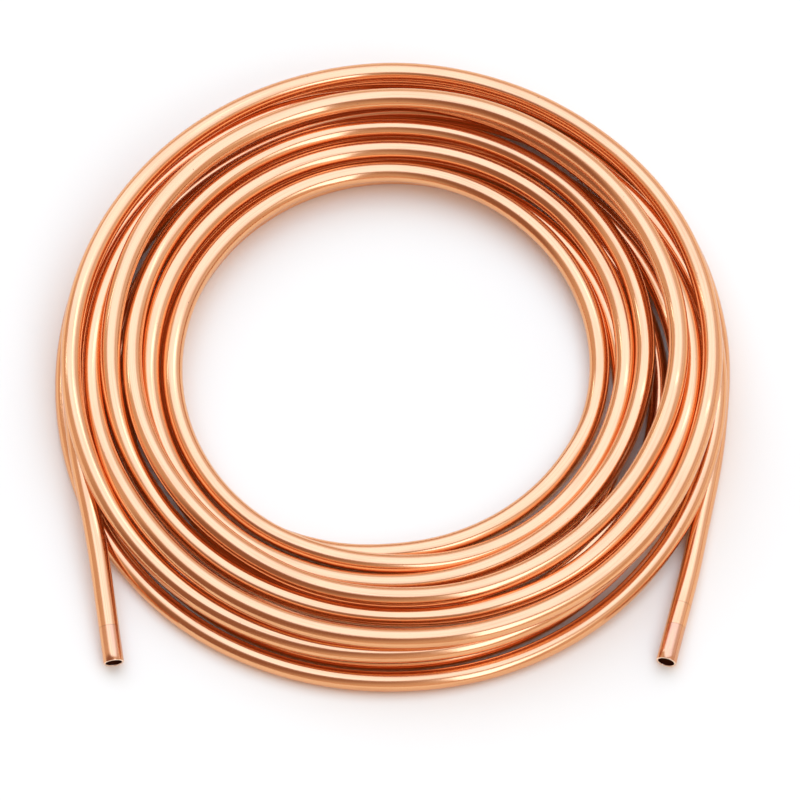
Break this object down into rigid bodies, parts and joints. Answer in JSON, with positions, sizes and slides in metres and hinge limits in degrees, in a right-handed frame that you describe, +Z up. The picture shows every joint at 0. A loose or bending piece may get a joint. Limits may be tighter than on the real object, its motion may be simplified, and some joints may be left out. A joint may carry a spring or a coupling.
{
  "type": "copper tube coil",
  "caption": "Coil of bright soft copper tube, wound loosely by hand in layers, with both open ends free and pointing the same way.",
  "frame": {"origin": "On the floor under the middle of the coil's outline as it lies flat.", "axes": "+Z up, square to the coil; +X to the right and +Y away from the two free ends, which point towards -Y."},
  "size_m": [0.3304, 0.3353, 0.0419],
  "materials": {
    "copper": "bright drawn, fine lines along the tube, darker towards the cut ends"
  },
  "bodies": {
    "root": {"copper_tube": "copper"}
  },
  "joints": []
}
